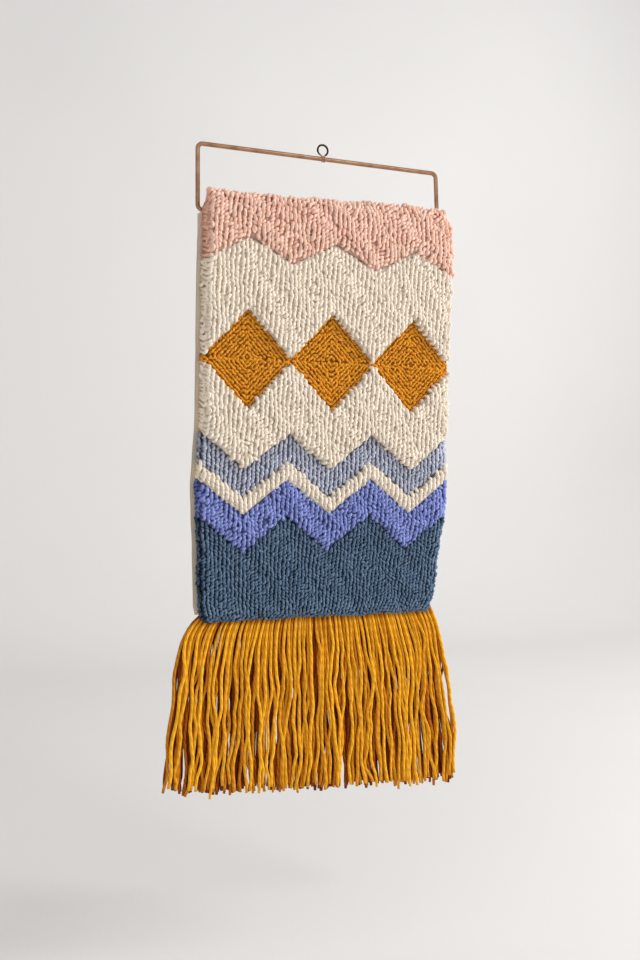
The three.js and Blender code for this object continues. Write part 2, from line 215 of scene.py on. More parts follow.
world = bpy.data.worlds.new("studio")
world.use_nodes = True
world.node_tree.nodes["Background"].inputs["Color"].default_value = linear(240, 240, 240)
world.node_tree.nodes["Background"].inputs["Strength"].default_value = 0.66
bpy.context.scene.world = world


def studio_paint(paint):
    """Matt plaster: two near whites mixed by broad clouds, with a fine grain in its relief."""
    place = paint.node("TexCoord", result="Object")
    cloud = paint.noise(place, 1.3)
    return {
        "Base Color": cloud.blend(linear(238, 236, 234), linear(230, 228, 226)),
        "Roughness": 0.9,
        "Normal": paint.bump(paint.noise(place, 220.0), 0.0004, 0.3),
    }


# In section the stage runs level, up a quarter circle and on up the wall.
cove = np.radians(np.linspace(0, 90, 13))
stage_y = np.r_[-FLOOR_REACH, WALL_Y - COVE_RADIUS + COVE_RADIUS * np.sin(cove), WALL_Y]
stage_z = np.r_[0, COVE_RADIUS * (1 - np.cos(cove)), WALL_HEIGHT] + FLOOR_Z
stage_x = np.array([-FLOOR_REACH, FLOOR_REACH])
stage_points = np.stack(
    np.broadcast_arrays(stage_x[None, :], stage_y[:, None], stage_z[:, None]), -1
)
stage = put_together("studio_floor", [grid(stage_points)], material("studio", studio_paint))


# The hanger: one copper-coated wire bent to a rectangle. Its lower run lies in the cloth's sleeve,
# where the two ends meet with a small gap.
WIRE_RADIUS = 2.5
HALF_SPAN = 149.5
RIGHT_LEG_OUT = 1.5
RIGHT_LEG_IN = 1
BAR_Z = -15.5
ROD_Z = -89.4
BEND_RADIUS = 6
BEND_POINTS = 11
END_GAP = 3
ROD_STATION = 70
WIRE_SIDES = 20


def sweep(paths, side, radius, sides, tone=0.5, rise=0.0):
    """Round yarns or wires along paths (n, stations, 3): at each station a ring of the given
    radius in the plane of the side vector and of the tangent crossed with it, ends capped."""
    count, stations = paths.shape[:2]
    tangent = np.gradient(paths, axis=1)
    tangent /= np.linalg.norm(tangent, axis=-1, keepdims=True)
    side = side - tangent * np.sum(side * tangent, -1, keepdims=True)
    side /= np.linalg.norm(side, axis=-1, keepdims=True)
    up = np.cross(tangent, side)
    turn = 2 * np.pi * np.arange(sides) / sides
    radius = np.broadcast_to(radius, (count, stations))[..., None, None]
    ring = np.cos(turn)[:, None] * side[:, :, None] + np.sin(turn)[:, None] * up[:, :, None]
    points = paths[:, :, None] + radius * ring

    first, station, place = np.meshgrid(
        np.arange(count) * stations * sides,
        np.arange(stations - 1),
        np.arange(sides),
        indexing="ij",
    )
    low = first + station * sides
    high = low + sides
    after = (place + 1) % sides
    quads = np.stack([low + place, low + after, high + after, high + place], -1)
    step = np.linalg.norm(np.diff(paths, axis=1), axis=-1)
    length = np.concatenate([np.zeros((count, 1)), np.cumsum(step, 1)], 1)
    low_v = np.broadcast_to(length[:, :-1, None], quads.shape[:3])
    high_v = np.broadcast_to(length[:, 1:, None], quads.shape[:3])
    u = np.stack([place, place + 1, place + 1, place], -1) / sides
    v = np.stack([low_v, low_v, high_v, high_v], -1)
    starts = np.arange(count)[:, None] * stations * sides
    last_ring = starts + (stations - 1) * sides + np.arange(sides)
    caps = np.concatenate([starts + np.arange(sides)[::-1], last_ring])
    cap_uv = np.zeros((caps.size, 2))
    uv = np.stack([u, v], -1).reshape(-1, 2)
    tone, rise = (
        np.broadcast_to(np.asarray(value)[..., None], (count, stations, sides)).ravel()
        for value in (tone, rise)
    )
    return {
        "points": points.reshape(-1, 3),
        "corners": np.concatenate([quads.ravel(), caps.ravel()]),
        "sizes": np.concatenate([np.full(quads.size // 4, 4), np.full(len(caps), sides)]),
        "uv": np.concatenate([uv, cap_uv]),
        "tone": tone,
        "rise": rise,
    }


def hanger_path():
    """The wire's centre line: straight runs joined by quarter circles, from mid-sleeve to the
    right, up, along the bar, down and back to mid-sleeve."""
    runs = [np.array([[END_GAP / 2, 0, ROD_Z], [ROD_STATION, 0, ROD_Z]])]
    corners = (
        (HALF_SPAN + RIGHT_LEG_OUT, ROD_Z, -90),
        (HALF_SPAN - RIGHT_LEG_IN, BAR_Z, 0),
        (-HALF_SPAN, BAR_Z, 90),
        (-HALF_SPAN, ROD_Z, 180),
    )
    for x, z, start in corners:
        angle = np.radians(start + np.linspace(0, 90, BEND_POINTS))
        centre_x = x - math.copysign(BEND_RADIUS, x)
        centre_z = z + (BEND_RADIUS if z == ROD_Z else -BEND_RADIUS)
        arc_x = centre_x + BEND_RADIUS * np.cos(angle)
        arc_z = centre_z + BEND_RADIUS * np.sin(angle)
        runs.append(np.stack([arc_x, 0 * angle, arc_z], -1))
    runs.append(np.array([[-ROD_STATION, 0, ROD_Z], [-END_GAP / 2, 0, ROD_Z]]))
    return np.concatenate(runs)[None]


def copper(paint):
    """Worn copper plate: a bright and a dull copper mixed by clouds, small dark specks, and fine
    streaks drawn along the bar that roughen it."""
    place = paint.node("TexCoord", result="Object")
    drawn = paint.node("Mapping", None, {"Vector": place, "Scale": (40, 900, 900)})
    streak = paint.noise(drawn, 1.0, 3.0)
    cloud = paint.noise(place, 70.0, 4.0)
    speck = paint.noise(place, 900.0, 2.0).between(0.66, 0.74)
    worn = cloud.between(0.42, 0.7)
    colour = worn.blend(linear(184, 142, 112), linear(150, 110, 84))
    colour = (speck * 0.6).blend(colour, linear(96, 62, 42))
    return {
        "Base Color": colour,
        "Metallic": 1.0,
        "Roughness": 0.24 + 0.12 * streak + 0.1 * worn,
        "Normal": paint.bump(streak + 0.5 * cloud, 0.00012, 0.6),
    }


TO_WALL = np.array([0.0, 1.0, 0.0])
hanger_wire = sweep(hanger_path() * MM, TO_WALL, WIRE_RADIUS * MM, WIRE_SIDES)
hanger = put_together("hanger_wire", [hanger_wire], material("copper_wire", copper))
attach(hanger, "root")
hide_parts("hanger")


# The eye: a loop of thinner bronze wire that stands on the middle of the bar and is wound
# tightly round it.
EYE_WIRE_RADIUS = 1.15
EYE_RADIUS = 6.3
EYE_Z = -5.3
EYE_OPEN = (-64, 232)
EYE_POINTS = 40
EYE_SIDES = 12
WRAP_WIRE = 0.6
WRAP_RADIUS = 3.3
WRAP_PITCH = 2.6
WRAP_FROM = 25
WRAP_TURN = 640
WRAP_POINTS = 72
WRAP_X = -1.7
# In points of the centre line: how many are smoothed each side of the join, and how far before
# it the wire starts to turn and thin, and over what length.
JOIN_HALF = 3
JOIN_FROM = 6
JOIN_LENGTH = 10
# The wire is light bare copper close to the bar, which also stands as a painted highlight on
# the wrap, and dark bronze from about this height up.
COPPER_AND_HIGHLIGHT_REACH = 6


def eye_path():
    """The centre line: round the loop, then a helix round the bar, joined by a smooth step.
    The side vector turns from the loop's normal to the bar's direction along the join."""
    angle = np.radians(np.linspace(*EYE_OPEN, EYE_POINTS))
    loop = np.stack(
        [EYE_RADIUS * np.cos(angle), 0 * angle, EYE_Z + EYE_RADIUS * np.sin(angle)], -1
    )
    turned = np.linspace(0, WRAP_TURN, WRAP_POINTS)
    angle = np.radians(WRAP_FROM + turned)
    wrap = np.stack(
        [
            WRAP_X + WRAP_PITCH * turned / 360,
            -WRAP_RADIUS * np.sin(angle),
            BAR_Z + WRAP_RADIUS * np.cos(angle),
        ],
        -1,
    )
    path = np.concatenate([loop, wrap])
    smooth = path.copy()
    join = np.arange(EYE_POINTS - JOIN_HALF, EYE_POINTS + JOIN_HALF)
    smooth[join] = (path[join - 1] + path[join] + path[join + 1]) / 3
    past_start = np.arange(len(path)) - (EYE_POINTS - JOIN_FROM)
    share = np.clip(past_start / JOIN_LENGTH, 0, 1)[:, None]
    side = (1 - share) * TO_WALL + share * np.array([1.0, 0.0, 0.0])
    radius = EYE_WIRE_RADIUS + (WRAP_WIRE - EYE_WIRE_RADIUS) * share[:, 0]
    return smooth[None], side[None], radius[None]


def bronze(paint):
    """Two dark bronzes mixed by clouds, and a light bare copper where the tone is low, which is
    also a painted highlight on the wrap. The tone is the height above the bar, divided by the
    reach of the copper and highlight."""
    place = paint.node("TexCoord", result="Object")
    cloud = paint.noise(place, 260.0, 3.0)
    worn = cloud.between(0.4, 0.66)
    height = paint.node("Attribute", {"attribute_name": "tone"}, None, "Fac")
    colour = worn.blend(linear(84, 58, 42), linear(46, 32, 26))
    return {
        # Bare copper with a painted highlight near the bar.
        "Base Color": height.between(0.5, 0.9).blend(linear(208, 158, 128), colour),
        "Metallic": 1.0,
        "Roughness": 0.3 + 0.2 * worn,
        "Normal": paint.bump(cloud, 0.00008, 0.5),
    }


eye_line, eye_side, eye_radius = eye_path()
above_bar = np.clip((eye_line[..., 2] - BAR_Z) / COPPER_AND_HIGHLIGHT_REACH, 0, 1)
eye_wire = sweep(eye_line * MM, eye_side, eye_radius * MM, EYE_SIDES, tone=above_bar)
eye = put_together("eye_wire", [eye_wire], material("bronze_wire", bronze))
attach(eye, "root")
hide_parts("eye")


# The backing: one woven cotton cloth, turned over the hanger's lower run as a sleeve and hemmed
# down both sides with a fine overcast thread. It leans back from the rod until its foot rests.
CLOTH = 1.6
SLEEVE_RADIUS = 3.65
SLEEVE_HALF_WIDTH = 140.5
SLEEVE_FOOT = -5
TURNED_DEPTH = 26
TURNED_Y = -1.65
CLOTH_BOTTOM = -452.2
CLOTH_ROWS = 46
# The cloth passes the pile's left edge by the first and stops short of the right by the second.
HEM_OUT_LEFT = 4.6
HEM_IN_RIGHT = 9
HEM_WIDTH = 9
HEM_EXTRA = 1
STITCH_WIDTH = 1.6
STITCH_PITCH = 2.9
WEAVE_PITCH = 1.5
LEAN = math.radians(2)
# Rows of a height from the rod and the pile's half width there.
LEFT_EDGE = np.array(
    [
        [-462, 137], [-452, 145], [-440, 147.5], [-379, 149], [-340, 151], [-307, 152],
        [-275, 150], [-238, 147.5], [-110, 147], [-2, 146], [12, 144], [24, 136],
    ]
)
RIGHT_EDGE = np.array(
    [
        [-462, 138], [-436, 147], [-404, 150], [-380, 154], [-345, 158.5], [-288, 160.5],
        [-250, 158.5], [-150, 159.5], [-82, 161.5], [-8, 161.5], [8, 158], [20, 150], [29, 140],
    ]
)


def eased(table, place):
    """Reads a table of (place, value) rows, easing between rows with 3t^2 - 2t^3."""
    row = np.clip(np.searchsorted(table[:, 0], place), 1, len(table) - 1)
    low, high = table[row - 1], table[row]
    t = np.clip((place - low[..., 0]) / (high[..., 0] - low[..., 0]), 0, 1)
    return low[..., 1] + (high[..., 1] - low[..., 1]) * t * t * (3 - 2 * t)


def uneven(a, b):
    """Unevenness from -1 to 1: the mean of three sines whose lengths share no measure."""
    first = np.sin(a * 1.7 + b * 2.9 + 0.6)
    second = np.sin(a * 3.1 - b * 1.3 + 2.2)
    return (first + second + np.sin(a * 0.7 + b * 4.3 + 4.1)) / 3


def hung(points):
    """Panel points, in mm from the rod, leaned back about it and brought to its height:
    y' = y cos - z sin and z' = y sin + z cos."""
    x, y, z = np.moveaxis(points, -1, 0)
    leaned_y = y * math.cos(LEAN) - z * math.sin(LEAN)
    leaned_z = y * math.sin(LEAN) + z * math.cos(LEAN) + ROD_Z
    return np.stack([x, leaned_y, leaned_z], -1) * MM


def cloth_section():
    """The cloth's middle line in section: up the turned edge behind, round half a circle over
    the rod, and straight down. Also 1 where a point is on the sleeve, 0 where it's below."""
    arc = np.linspace(0, np.pi, 17)
    turned_y = [TURNED_Y, TURNED_Y, TURNED_Y, 0.6, SLEEVE_RADIUS * 0.75]
    turned_z = [-TURNED_DEPTH, -23, -19, -14, -9]
    hanging_z = np.linspace(SLEEVE_FOOT - 0.5, CLOTH_BOTTOM, CLOTH_ROWS)
    y = np.r_[turned_y, SLEEVE_RADIUS * np.cos(arc), np.full(CLOTH_ROWS, -SLEEVE_RADIUS)]
    z = np.r_[turned_z, SLEEVE_RADIUS * np.sin(arc), hanging_z]
    sleeve = np.r_[np.ones(len(turned_y) + len(arc) - 1), np.zeros(CLOTH_ROWS + 1)]
    return y, z, sleeve


def cloth_parts():
    """Two copies of the section's surface, half a thickness either side, and their rim. The
    width follows the pile's edges below the sleeve, and the hems are thicker at the back."""
    y, z, sleeve = (value[:, None] for value in cloth_section())
    run = np.hypot(np.gradient(y, axis=0), np.gradient(z, axis=0))
    normal_y = np.gradient(z, axis=0) / run
    normal_z = -np.gradient(y, axis=0) / run
    in_sleeve = np.maximum(sleeve, z > SLEEVE_FOOT)
    left = np.where(in_sleeve, -SLEEVE_HALF_WIDTH, -eased(LEFT_EDGE, z) - HEM_OUT_LEFT)
    right = np.where(in_sleeve, SLEEVE_HALF_WIDTH, eased(RIGHT_EDGE, z) - HEM_IN_RIGHT)
    # The columns stand close together at both hems.
    in_hem = np.array([0, 0.006, 0.015, 0.028, 0.031, 0.036])
    share = np.r_[in_hem, np.linspace(0.06, 0.94, 45), 1 - in_hem[::-1]][None]
    wavy = 0.5 * uneven(z / 17, 0.4)
    x = left + (right - left) * share + wavy * (2 * share - 1)
    from_edge = np.minimum(x - left, right - x)
    rounded = np.sqrt(np.clip(from_edge / (CLOTH / 2) + 0.25, 0, 1))
    below = np.clip((-TURNED_DEPTH - z) / 3, 0, 1)
    hem = HEM_EXTRA * below * np.clip((HEM_WIDTH + 1 - from_edge) / 1.5, 0, 1)
    front = CLOTH / 2 * rounded
    back = (CLOTH / 2 + hem) * rounded
    outer = np.stack([x, y + normal_y * front, z + normal_z * front], -1)
    inner = np.stack([x, y - normal_y * back, z - normal_z * back], -1)
    rim = np.stack([outer, inner])
    stitched = np.clip((STITCH_WIDTH - from_edge) * 2, 0, 1) * below
    left_side, right_side = rim[:, :, 0], rim[::-1, :, -1]
    return [
        grid(hung(outer)[::-1], rise=stitched[::-1]),
        grid(hung(inner), rise=stitched),
        grid(hung(left_side), rise=below[:, 0]),
        grid(hung(right_side), rise=below[:, 0]),
        grid(hung(rim[::-1, 0])),
        grid(hung(rim[:, -1])),
    ]


def cotton(paint):
    """Plain weave: warp and weft are two sines whose product is the relief. Two creams mixed by
    clouds, darker fibres, and a thread at the hem that comes round once in each stitch."""
    place = paint.node("TexCoord", result="Object")
    split = paint.node("SeparateXYZ", None, {0: place}, 0)
    upright = split.output(2)
    weave = split.wave(WEAVE_PITCH * MM) * upright.wave(WEAVE_PITCH * MM)
    fibre = paint.noise(place, 1500.0, 3.0)
    cloud = paint.noise(place, 18.0, 3.0)
    colour = cloud.blend(linear(250, 236, 214), linear(240, 222, 196))
    colour = (fibre * 0.35).blend(colour, linear(178, 148, 116))
    at_hem = paint.node("Attribute", {"attribute_name": "rise"}, None, "Fac")
    thread = upright.wave(STITCH_PITCH * MM).between(0.1, 0.6) * at_hem
    colour = (thread * 0.55).blend(colour, linear(150, 128, 106))
    return {
        "Base Color": colour,
        "Roughness": 0.88 + 0.1 * fibre,
        "Sheen Weight": 0.25,
        "Sheen Roughness": 0.6,
        "Normal": paint.bump(weave + 0.6 * fibre + 2 * thread, 0.0004, 0.8),
    }


backing_paint = material("backing_cotton", cotton)
backing = put_together("backing_cloth", cloth_parts(), backing_paint)
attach(backing, "root")
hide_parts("backing")


# The pile: wool yarn tufted through the cloth in loops. Each colour is one bunch of loops over a
# close bed of its own yarn, each at its own height, and the loops at the rim splay outwards.
PILE_BACK = SLEEVE_RADIUS + CLOTH / 2 + 0.3
RIM_RADIUS = 17
RIM_LIFT = 0.42
OVERHANG = 7
# The left side rounds over in a shorter way than the rest, and its crests lean inwards, the more
# so the higher the pile.
LEFT_STEEPNESS = 2
LEFT_LEAN = 0.6
LEFT_LEAN_FROM = 16
LEFT_PUSH = 1.6
REPEATS = 3
# Heights from the rod of the pile's edges and colour borders, and how far the zigzags reach.
TOP_LIFT = 20.5
TOP_GAIN = 6
FOOT_LINE = -460
PINK_FOOT = -30
PINK_REACH = 26
CHAIN_TOP = -108
CHAIN_FOOT = -222
CHAIN_REACH = 54
GREY_TOP = -287
GREY_REACH = 40
STRIPE_DROP = 34
PERIWINKLE_DROP = 52
NAVY_DROP = 94
LOZENGE_ROWS = 12
BED_INSET_LEFT = 3
BED_INSET_RIGHT = 5
BED_COLUMNS = 150
BED_ROWS = 26
BASE_INSET_LEFT = 1.5
BASE_INSET_RIGHT = HEM_IN_RIGHT + 2
BORDER_GAP = 0.5
BORDER_STEP = 5
SLEEVE_TOP = 3
LEAST_HEIGHT = 3.0
ARC_HALF = 100
ARC_POINTS = 6
LOOP_SIDES = 6
PANEL_WIDTH = 307
ROW_RANGE = (-480, 40)
random = np.random.default_rng(20)


def zigzag(across):
    """From 1 at the panel's sides down to 0 and back, three times across: twice the remainder of
    3 across, less 1, without its sign."""
    return np.abs(2 * np.mod(across * REPEATS, 1) - 1)


def top_line(across):
    """The pile's upper edge: a lift that gains by an eased step towards the right, 3t^2 - 2t^3,
    and two unevennesses of different lengths."""
    rise = np.clip((across - 0.3) / 0.55, 0, 1)
    lift = TOP_LIFT + TOP_GAIN * rise * rise * (3 - 2 * rise)
    return lift + uneven(across * 9, 0.3) + 1.3 * uneven(across * 43, 5.1)


def foot_line(across):
    """The pile's lower edge: level, with two unevennesses of different lengths."""
    return FOOT_LINE + 1.6 * uneven(across * 11, 1.7) + uneven(across * 47, 2.4)


def pink_foot(across):
    """The pink band's foot: the zigzag, downwards."""
    return PINK_FOOT - PINK_REACH * zigzag(across)


def chain_top(across):
    """The lozenges' upper sides: the zigzag, downwards."""
    return CHAIN_TOP - CHAIN_REACH * zigzag(across)


def chain_foot(across):
    """The lozenges' lower sides: the zigzag, upwards, which nearly meets the upper sides."""
    return CHAIN_FOOT + CHAIN_REACH * zigzag(across)


def grey_top(across):
    """The grey-blue band's top: the zigzag, upwards."""
    return GREY_TOP + GREY_REACH * zigzag(across)


def stripe_top(across):
    """The cream stripe's top, a fixed drop below the grey-blue band's."""
    return grey_top(across) - STRIPE_DROP


def periwinkle_top(across):
    """The periwinkle band's top, a fixed drop below the grey-blue band's."""
    return grey_top(across) - PERIWINKLE_DROP


def navy_top(across):
    """The navy field's top, a fixed drop below the grey-blue band's."""
    return grey_top(across) - NAVY_DROP


def panel_x(across, z):
    """The x at a share of the way across from the left edge to the right one at that height."""
    left = -eased(LEFT_EDGE, z)
    return left + (eased(RIGHT_EDGE, z) - left) * across


def rim_share(across, z):
    """How far the surface has rounded over at the left, right, top and foot: 1 - gap / radius,
    from 0 inside to 1 at the rim itself. The left side is the steepest."""
    x = panel_x(across, z)
    gaps = (
        LEFT_STEEPNESS * (x + eased(LEFT_EDGE, z)),
        eased(RIGHT_EDGE, z) - x,
        top_line(across) - z,
        z - foot_line(across),
    )
    return [1 - np.clip(gap / RIM_RADIUS, 0, 1) for gap in gaps]


def pile_rise(near):
    """The surface's share of the full pile height: a quarter circle from the rim inwards, which
    starts from the rim's own height, lift + (1 - lift) sqrt(1 - near^2)."""
    return RIM_LIFT + (1 - RIM_LIFT) * np.sqrt(1 - near * near)


def columns_of(upper, lower, first, last, yarn):
    """Loop places in upright columns: their share across, height, overhang past the left or
    right rim, distance to the colour's border, and yaw. The columns waver by sines of z."""
    pitch, step = yarn["pitch"], yarn["step"]
    start = first * PANEL_WIDTH + pitch * 0.1
    end = last * PANEL_WIDTH + OVERHANG
    columns = np.linspace(start, end, int(round((end - start) / pitch)) + 1)
    rows = np.arange(*ROW_RANGE, step)
    column, z = np.meshgrid(columns, rows, indexing="ij")
    index = np.arange(len(columns))[:, None]
    z = z + step * (random.uniform(0, 1, index.shape) + 0.25 * random.uniform(-1, 1, z.shape))
    waver = yarn["waver"] * np.sin(z / 9 + 0.9 * index)
    column = column + waver + 0.5 * random.uniform(-1, 1, z.shape)
    inside = np.clip(column, 0, PANEL_WIDTH)
    across = inside / PANEL_WIDTH
    high = upper(across) + (OVERHANG * 0.6 if upper is top_line else -BORDER_GAP)
    low = lower(across) - (OVERHANG * 0.4 if lower is foot_line else -BORDER_GAP)
    kept = (z < high) & (z > low)
    yaw = yarn["yaw"] * (0.4 + np.sin(z / 13 + 0.6 * index) + 0.6 * random.normal(size=z.shape))
    edge = np.minimum(high - z, z - low)
    return [value[kept] for value in (across, z, column - inside, edge, yaw)]


def lozenges_of(upper, lower, first, last, yarn):
    """Loop places in rows that follow the lozenge's outline, one inside the next: each lies one
    drop nearer to the middle than the last, above and below. Values as for columns_of."""
    slope = math.atan2(CHAIN_REACH, PANEL_WIDTH / REPEATS / 2)
    drop = yarn["pitch"] / math.cos(slope)
    run = yarn["step"] * math.cos(slope)
    places = np.arange(first * PANEL_WIDTH + 1.5, last * PANEL_WIDTH - 1, run)
    rows = (np.arange(LOZENGE_ROWS) + 0.35) * drop
    place, row = np.meshgrid(places, rows, indexing="ij")
    place = place + 0.6 * random.uniform(-1, 1, place.shape)
    row = row + 0.5 * random.normal(size=row.shape)
    across = place / PANEL_WIDTH
    middle = (upper(across) + lower(across)) / 2
    half = (upper(across) - lower(across)) / 2
    falling = np.where(np.mod(across * REPEATS, 1) < 0.5, 1, -1)
    found = []
    for side in (1, -1):
        z = middle + side * (half - row)
        kept = (half - row) > (0.35 * drop if side > 0 else -0.1 * drop)
        along_row = side * falling * (90 - math.degrees(slope))
        yaw = along_row + yarn["yaw"] * random.normal(size=z.shape)
        values = (across, z, 0 * z, row + 1, yaw)
        found.append([value[kept] for value in values])
    # The rows' corners leave gaps along the lozenge's own long axis: single loops fill them.
    place = places[np.mod((half[:, 0] / drop) - 0.7, 1) < 0.5]
    across = place / PANEL_WIDTH
    middle = (upper(across) + lower(across)) / 2 + random.normal(size=len(place))
    yaw = 60 * random.normal(size=len(place))
    found.append([across, middle, 0 * across, 0 * across + 5, yaw])
    return [np.concatenate(pair) for pair in zip(*found)]


def loops(across, z, past_side, edge, yaw, yarn):
    """One loop to each place. Its crest lies on the pile's surface and its base on the cloth; the
    yarn runs from one foot round an arc of 200 degrees and back, in a plane turned by yaw."""
    top, foot = top_line(across), foot_line(across)
    inside_z = np.clip(z, foot, top)
    past = np.abs(past_side) + np.abs(z - inside_z)
    near_left, near_right, near_top, near_foot = rim_share(across, inside_z)
    near = np.maximum.reduce([near_left, near_right, near_top, near_foot])
    share = pile_rise(near) - RIM_LIFT * 0.8 * np.clip(past / OVERHANG, 0, 1)
    at_border = np.clip(1 - edge / BORDER_STEP, 0, 1) * (near < 0.6)
    share = share * (1 - yarn["step_down"] * at_border)
    count = len(z)
    loose = yarn["loose"] + 1.2 * near_left
    height = yarn["height"] * share + loose * random.normal(size=count)
    height = np.maximum(height, LEAST_HEIGHT)
    tilt_x = near_right + np.maximum(past_side, 0) / OVERHANG
    at_corner = np.maximum(near_top, near_foot)
    crest_x = panel_x(across, inside_z) + 0.5 * near_right * random.normal(size=count)
    lean = LEFT_LEAN * (yarn["height"] - LEFT_LEAN_FROM) + LEFT_PUSH
    crest_x = crest_x + lean * near_left * (1 - 1.8 * at_corner)
    crest_x = crest_x + 1.6 * np.abs(random.normal(size=count)) * near_right
    crest_x = crest_x - 1.2 * np.abs(random.normal(size=count)) * near_left * (1 - at_corner)
    crest = np.stack([crest_x, -PILE_BACK - height, inside_z], -1)
    base_x = crest_x - 0.16 * height - 2 * near_left
    base_x = base_x - 0.4 * yarn["height"] * tilt_x * (0.4 + 0.6 * share)
    least_x = BASE_INSET_LEFT - eased(LEFT_EDGE, z)
    base_x = np.clip(base_x, least_x, eased(RIGHT_EDGE, z) - BASE_INSET_RIGHT)
    droop = yarn["droop"] * height * (1 - near_foot)
    base_z = inside_z + droop - 9 * near_top + 9 * near_foot
    base_z = np.clip(base_z + random.normal(size=count), CLOTH_BOTTOM + 2, SLEEVE_TOP)
    base = np.stack([base_x, np.full(count, -PILE_BACK), base_z], -1)

    out = crest - base
    length = np.linalg.norm(out, axis=-1, keepdims=True)
    out = out / length
    yaw = np.radians(yaw)
    along = np.stack([np.sin(yaw), 0 * yaw, np.cos(yaw)], -1)
    along = along - out * np.sum(along * out, -1, keepdims=True)
    along /= np.linalg.norm(along, axis=-1, keepdims=True)
    half = yarn["span"] / 2 * (1 + 0.15 * random.normal(size=(count, 1)))
    half = np.clip(half, 0.5 * yarn["span"] / 2, 0.45 * length)
    angle = np.radians(np.linspace(-ARC_HALF, ARC_HALF, ARC_POINTS))[:, None]
    circle = along[:, None] * np.sin(angle) + out[:, None] * np.cos(angle)
    arch = (crest - out * half)[:, None] + half[:, None] * circle
    depth = (0.4 * (1 - near) * length[:, 0])[:, None]
    root = base + out * depth
    spread = 0.6 * half * along
    paths = np.concatenate([(root - spread)[:, None], arch, (root + spread)[:, None]], 1)
    # rise is 1 at the crest and 0 at the feet. It thickens the crest, and the wool paints the feet
    # in shade from it: painted shade between the loops. shaded adds painted shade to the left
    # flank.
    rise = np.r_[0, 0.5 + 0.5 * np.cos(angle[:, 0]), 0][None]
    shaded = (1 - 0.5 * near_left)[:, None]
    thick = yarn["radius"] * (0.86 + 0.2 * rise) * (1 + 0.07 * random.normal(size=(count, 1)))
    tone = random.uniform(0, 1, count)[:, None] + 0 * rise
    side = np.cross(along, out)[:, None]
    return sweep(hung(paths), side, thick * MM, LOOP_SIDES, tone, rise * shaded)


def bed(upper, lower, first, last, yarn):
    """The closely packed lower part of the loops: a front surface that the crests stand out of,
    at the pile's height less the yarn's sink and uneven, and a flat back, joined at their rim."""
    columns = int(round((last - first) * BED_COLUMNS)) + 1
    across = np.linspace(first, last, columns)[None]
    inset_top = 3.0 if upper is top_line else 0.4
    inset_foot = 3.0 if lower is foot_line else 0.4
    share = np.linspace(0, 1, BED_ROWS)[:, None]
    low, high = lower(across) + inset_foot, upper(across) - inset_top
    z = low + (high - low) * share
    x = panel_x(across, z)
    x = np.clip(x, BED_INSET_LEFT - eased(LEFT_EDGE, z), eased(RIGHT_EDGE, z) - BED_INSET_RIGHT)
    near = np.maximum.reduce(rim_share(across, z))
    y = -PILE_BACK - yarn["height"] * (pile_rise(near) - 0.25 * near) + yarn["sink"]
    y = y + 0.8 * uneven(x / 1.7, z / 2.1)
    back_z = np.clip(z, CLOTH_BOTTOM + 1, SLEEVE_TOP)
    back_x = np.minimum(x, eased(RIGHT_EDGE, z) - BASE_INSET_RIGHT)
    front = np.stack([x, y, z], -1)
    back = np.stack([back_x, np.full(z.shape, -PILE_BACK), back_z], -1)
    rim = np.stack([back, front])
    sides = [rim[:, ::-1, 0], rim[:, :, -1], rim[:, 0], rim[:, -1, ::-1]]
    # The bed's front and sides get a low rise: the yarn's painted shade, darker on the sides.
    return [grid(hung(front), 0.4, 0.35), grid(hung(back)[::-1])] + [
        grid(hung(part), 0.4, 0.2) for part in sides
    ]


def wool(twist, *colours):
    """Spun yarn: two plies that come round once in a twist of so many mm, and fine fibres.
    Its three colours are painted light and shade: lit where it stands proud, painted shade,
    and painted deep shade between the loops. The brightness that mixes them is the sum of
    the rise, which paints shade down to the loops' feet, the tone, the plies, whose grooves
    are painted darker, and clouds."""
    lit, shade, deep = (linear(*colour) for colour in colours)

    def finish(paint):
        place = paint.node("TexCoord", result="Object")
        round_yarn = paint.node("UVMap", {"uv_map": "along"})
        split = paint.node("SeparateXYZ", None, {0: round_yarn})
        along = split.output(1)
        tone = paint.node("Attribute", {"attribute_name": "tone"}, None, "Fac")
        rise = paint.node("Attribute", {"attribute_name": "rise"}, None, "Fac")
        ply = (2 * split + along * (1 / (twist * MM))).wave(1) * 0.5 + 0.5
        fibre = paint.noise(place, 1300.0, 3.0)
        cloud = paint.noise(place, 24.0, 3.0)
        # Painted light and shade: a high rise gives the lit colour, a low one painted shade.
        bright = rise.between(0.05, 0.9) * 0.7 + tone * 0.25 + ply * 0.1 + cloud * 0.3 - 0.15
        colour = bright.between(0.0, 0.5).blend(deep, shade)
        colour = bright.between(0.4, 1.0).blend(colour, lit)
        colour = (fibre.between(0.5, 0.8) * 0.25).blend(colour, shade)
        return {
            "Base Color": colour,
            "Roughness": 0.82 + 0.14 * fibre,
            "Sheen Weight": 0.08,
            "Sheen Roughness": 0.5,
            "Specular IOR Level": 0.12,
            "Normal": paint.bump(ply + 0.6 * fibre, 0.0006, 0.9),
        }

    return finish


def yarn_of(
    height, pitch, step, radius, span, yaw, droop, sink, waver=0.4, loose=0.5, step_down=0.12
):
    """How one yarn is looped, in mm: pile height, pitch of the columns, step from loop to loop,
    yarn radius and span of the arch. yaw is in degrees, droop is a share of the height, sink is
    how deep the bed lies under the crests, waver and loose are the columns' and the crests'
    unevenness, and step_down is the share of height lost at a border."""
    return {
        "height": height,
        "pitch": pitch,
        "step": step,
        "radius": radius,
        "span": span,
        "yaw": yaw,
        "droop": droop,
        "sink": sink,
        "waver": waver,
        "loose": loose,
        "step_down": step_down,
    }


